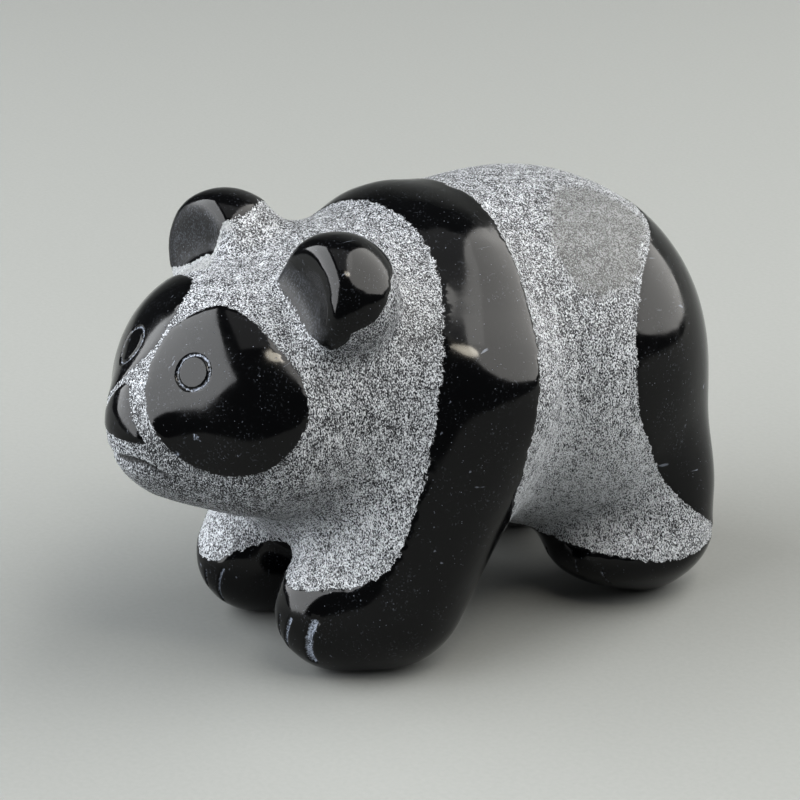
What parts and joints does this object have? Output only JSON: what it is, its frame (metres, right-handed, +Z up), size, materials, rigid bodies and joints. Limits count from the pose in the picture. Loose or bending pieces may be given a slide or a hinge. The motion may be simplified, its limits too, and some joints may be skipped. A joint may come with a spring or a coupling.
{
  "type": "panda figurine",
  "caption": "Small panda carved from one piece of black stone, standing on four paws, with polished markings and pecked grey fur.",
  "frame": {"origin": "on the surface it stands on, under the middle of its box", "axes": "+Z up; -Y the way the nose points; +X its left side"},
  "size_m": [0.0854, 0.1358, 0.0919],
  "materials": {
    "stone": "polished black where dark, finely pecked to light grey elsewhere"
  },
  "bodies": {
    "root": {"panda_figurine": "stone"}
  },
  "joints": []
}
